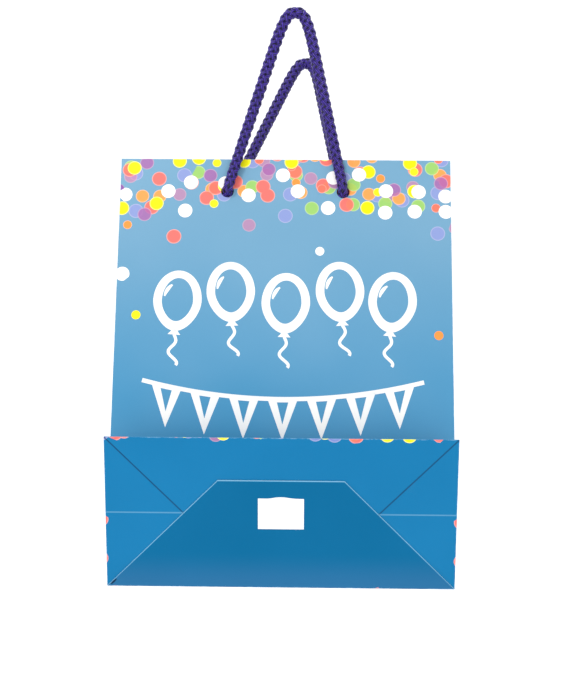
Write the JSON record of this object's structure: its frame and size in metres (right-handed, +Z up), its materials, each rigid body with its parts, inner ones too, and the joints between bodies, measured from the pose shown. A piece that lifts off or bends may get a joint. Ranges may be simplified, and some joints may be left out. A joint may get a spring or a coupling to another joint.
{
  "type": "gift bag",
  "caption": "Flat-folding laminated paper gift bag with side gussets, a folded block bottom, card-stiffened hems and knotted rope handles.",
  "frame": {"origin": "middle of the back panel's bottom crease, on the panel's outer face", "axes": "+X to the right as the front is seen, +Y from the front to the back, +Z up towards the mouth and the handles"},
  "size_m": [0.18, 0.0705, 0.3183],
  "materials": {
    "printed_paper": "laminated paper, satin sheen",
    "hem_paper": "laminated paper, satin sheen",
    "grey_card": "uncoated grey card",
    "rope": "braided glossy polypropylene rope",
    "label_paper": "matt self-adhesive paper"
  },
  "bodies": {
    "back": {"back_panel": "printed_paper", "back_hem": "hem_paper", "back_card": "grey_card", "glue_tab": "hem_paper", "back_handle_knots": "rope"},
    "left_gusset_back": {"left_gusset_back": "printed_paper", "left_gusset_back_hem": "hem_paper"},
    "left_gusset_front": {"left_gusset_front": "printed_paper", "left_gusset_front_hem": "hem_paper"},
    "front": {"front_panel_upper": "printed_paper", "front_hem": "hem_paper", "front_card": "grey_card", "front_handle_knots": "rope"},
    "front_flap": {"front_panel_lower": "printed_paper"},
    "bottom": {"bottom_front_flap": "printed_paper", "bottom_back_flap": "printed_paper", "left_bottom_tuck": "printed_paper", "right_bottom_tuck": "printed_paper", "base_card": "grey_card", "label": "label_paper"},
    "right_gusset_back": {"right_gusset_back": "printed_paper", "right_gusset_back_hem": "hem_paper"},
    "right_gusset_front": {"right_gusset_front": "printed_paper", "right_gusset_front_hem": "hem_paper"},
    "left_front_corner": {"left_front_corner": "printed_paper"},
    "right_front_corner": {"right_front_corner": "printed_paper"},
    "left_bottom_corner": {"left_bottom_corner": "printed_paper"},
    "right_bottom_corner": {"right_bottom_corner": "printed_paper"},
    "front_handle": {"front_handle": "rope"},
    "back_handle": {"back_handle": "rope"}
  },
  "joints": [
    {"name": "bag_opening", "type": "hinge", "parent": "back", "child": "left_gusset_back", "pos_m": [-0.09, -0.0003, 0.115], "axis": [0, 0, -1], "range_deg": [0, 83.5]},
    {"name": "left_gusset_fold", "type": "hinge", "parent": "left_gusset_back", "child": "left_gusset_front", "pos_m": [-0.05029, -0.00513, 0.115], "axis": [0, 0, -1], "range_deg": [-167.02, 0.02]},
    {"name": "left_front_crease", "type": "hinge", "parent": "left_gusset_front", "child": "front", "pos_m": [-0.09, -0.00995, 0.115], "axis": [0, 0, -1], "range_deg": [-0.02, 83.52]},
    {"name": "front_bottom_crease", "type": "hinge", "parent": "front", "child": "front_flap", "pos_m": [0, -0.01025, 0.04], "axis": [1, 0, 0], "range_deg": [-0.02, 146.58]},
    {"name": "bottom_front_crease", "type": "hinge", "parent": "front_flap", "child": "bottom", "pos_m": [0, -0.03254, 0.07321], "axis": [1, 0, 0], "range_deg": [-80.35, 0.02]},
    {"name": "right_back_crease", "type": "hinge", "parent": "back", "child": "right_gusset_back", "pos_m": [0.09, -0.0003, 0.115], "axis": [0, 0, 1], "range_deg": [-0.02, 83.52]},
    {"name": "right_gusset_fold", "type": "hinge", "parent": "right_gusset_back", "child": "right_gusset_front", "pos_m": [0.05029, -0.00513, 0.115], "axis": [0, 0, 1], "range_deg": [-167.02, 0.02]},
    {"name": "left_front_corner_crease", "type": "hinge", "parent": "front_flap", "child": "left_front_corner", "pos_m": [-0.09, -0.0105, 0.03983], "axis": [0, 0.551, -0.8345], "range_deg": [-0.02, 87.02], "deforming": ["left_front_corner"]},
    {"name": "left_bottom_corner_crease", "type": "hinge", "parent": "bottom", "child": "left_bottom_corner", "pos_m": [-0.09, -0.03254, 0.07321], "axis": [0, -0.403, 0.9152], "range_deg": [-0.02, 87.02], "deforming": ["left_bottom_corner"]},
    {"name": "right_front_corner_crease", "type": "hinge", "parent": "front_flap", "child": "right_front_corner", "pos_m": [0.09, -0.0105, 0.03983], "axis": [0, -0.551, 0.8345], "range_deg": [-0.02, 87.02], "deforming": ["right_front_corner"]},
    {"name": "right_bottom_corner_crease", "type": "hinge", "parent": "bottom", "child": "right_bottom_corner", "pos_m": [0.09, -0.03254, 0.07321], "axis": [0, 0.403, -0.9152], "range_deg": [-0.02, 87.02], "deforming": ["right_bottom_corner"]},
    {"name": "front_handle_swing", "type": "hinge", "parent": "front", "child": "front_handle", "pos_m": [0, -0.01405, 0.2115], "axis": [1, 0, 0], "range_deg": [0, 170]},
    {"name": "back_handle_swing", "type": "hinge", "parent": "back", "child": "back_handle", "pos_m": [0, 0.0038, 0.2115], "axis": [-1, 0, 0], "range_deg": [-18, 150]}
  ],
  "couplings": [
    {"joint": "left_gusset_fold", "follows": "bag_opening", "ratio": -2},
    {"joint": "left_front_crease", "follows": "bag_opening", "ratio": 1},
    {"joint": "front_bottom_crease", "follows": "bag_opening", "ratio": 1.7553},
    {"joint": "bottom_front_crease", "follows": "bag_opening", "ratio": -0.96206},
    {"joint": "right_back_crease", "follows": "bag_opening", "ratio": 1},
    {"joint": "right_gusset_fold", "follows": "bag_opening", "ratio": -2},
    {"joint": "left_front_corner_crease", "follows": "bag_opening", "ratio": 1.0419},
    {"joint": "left_bottom_corner_crease", "follows": "bag_opening", "ratio": 1.0419},
    {"joint": "right_front_corner_crease", "follows": "bag_opening", "ratio": 1.0419},
    {"joint": "right_bottom_corner_crease", "follows": "bag_opening", "ratio": 1.0419}
  ]
}
